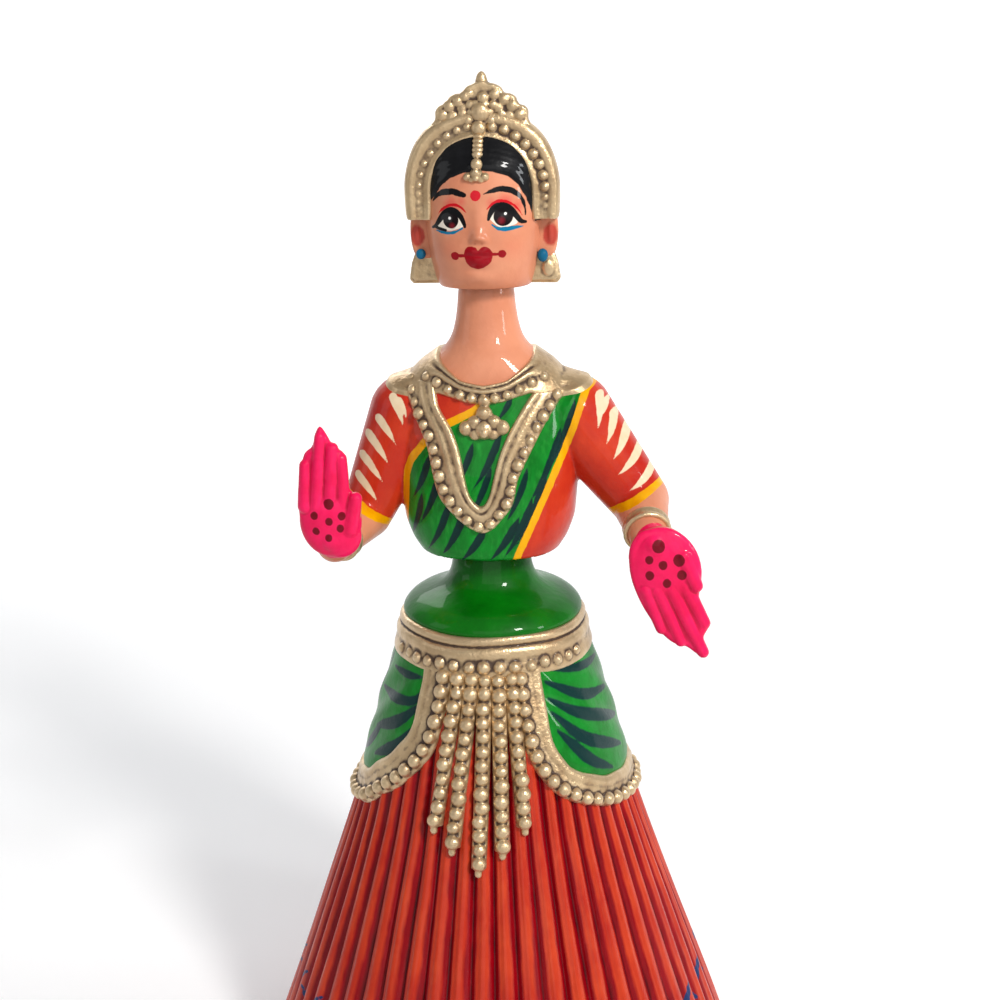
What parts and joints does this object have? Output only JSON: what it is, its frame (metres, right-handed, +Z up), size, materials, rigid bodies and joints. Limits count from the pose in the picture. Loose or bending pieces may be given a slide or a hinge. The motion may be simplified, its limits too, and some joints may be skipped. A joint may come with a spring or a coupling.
{
  "type": "head-shaking dancing doll",
  "caption": "Painted papier-mache dancing doll: a pleated skirt stands still, the torso and the head each rock on a wire hoop",
  "frame": {"origin": "centre of the base on the table", "axes": "+Z up, the doll faces -Y, +X is the doll's left"},
  "size_m": [0.1566, 0.157, 0.32],
  "materials": {
    "base_wood": "bare",
    "ballast_clay": "dry unfired clay",
    "skirt_paint": "glossy varnish over paint",
    "green_paint": "glossy varnish over paint",
    "gold_paint": "metallic paint over pressed relief",
    "blouse_paint": "glossy varnish over paint",
    "skin_paint": "glossy varnish over paint",
    "palm_paint": "glossy varnish over paint",
    "hair_paint": "glossy varnish over paint",
    "pulp_lump": "dried paper pulp",
    "iron_wire": "drawn wire"
  },
  "bodies": {
    "base": {"base_board": "base_wood", "base_clay": "ballast_clay", "skirt_front": "skirt_paint", "skirt_back": "skirt_paint", "waist_dome": "green_paint", "waist_plug": "base_wood", "waist_hoop": "iron_wire", "waist_belt": "gold_paint", "right_hip_drape": "green_paint", "left_hip_drape": "green_paint", "right_drape_border": "gold_paint", "left_drape_border": "gold_paint", "bead_string_1": "gold_paint", "bead_string_2": "gold_paint", "bead_string_3": "gold_paint", "bead_string_4": "gold_paint", "bead_string_5": "gold_paint"},
    "torso_pivot": {"torso_cross_wire": "iron_wire"},
    "torso": {"torso_front": "blouse_paint", "torso_back": "blouse_paint", "torso_clay": "ballast_clay", "neck_tube": "skin_paint", "neck_plug": "base_wood", "neck_hoop": "iron_wire", "right_arm": "skin_paint", "left_arm": "skin_paint", "right_bangle": "gold_paint", "left_bangle": "gold_paint", "right_hand": "palm_paint", "left_hand": "palm_paint", "choker": "gold_paint", "long_garland": "gold_paint", "pendant": "gold_paint", "back_braid": "hair_paint"},
    "head_pivot": {"head_cross_wire": "iron_wire"},
    "head": {"head_front": "skin_paint", "head_back": "hair_paint", "head_clay": "ballast_clay", "front_wire_lug": "pulp_lump", "back_wire_lug": "pulp_lump", "crown_band": "gold_paint", "crown_crest": "gold_paint", "forehead_pendant": "gold_paint", "right_ear": "skin_paint", "left_ear": "skin_paint", "right_earring": "gold_paint", "left_earring": "gold_paint", "hair_bun": "hair_paint"}
  },
  "joints": [
    {"name": "torso_nod", "type": "hinge", "parent": "base", "child": "torso_pivot", "pos_m": [0, 0, 0.24835], "axis": [1, 0, 0], "range_deg": [-3.5, 3.5]},
    {"name": "torso_sway", "type": "hinge", "parent": "torso_pivot", "child": "torso", "pos_m": [0, 0, 0.25], "axis": [0, 1, 0], "range_deg": [-5, 5]},
    {"name": "head_nod", "type": "hinge", "parent": "torso", "child": "head_pivot", "pos_m": [0, 0, 0.29455], "axis": [1, 0, 0], "range_deg": [-3.5, 3.5]},
    {"name": "head_sway", "type": "hinge", "parent": "head_pivot", "child": "head", "pos_m": [0, 0, 0.296], "axis": [0, 1, 0], "range_deg": [-5.5, 5.5]}
  ]
}
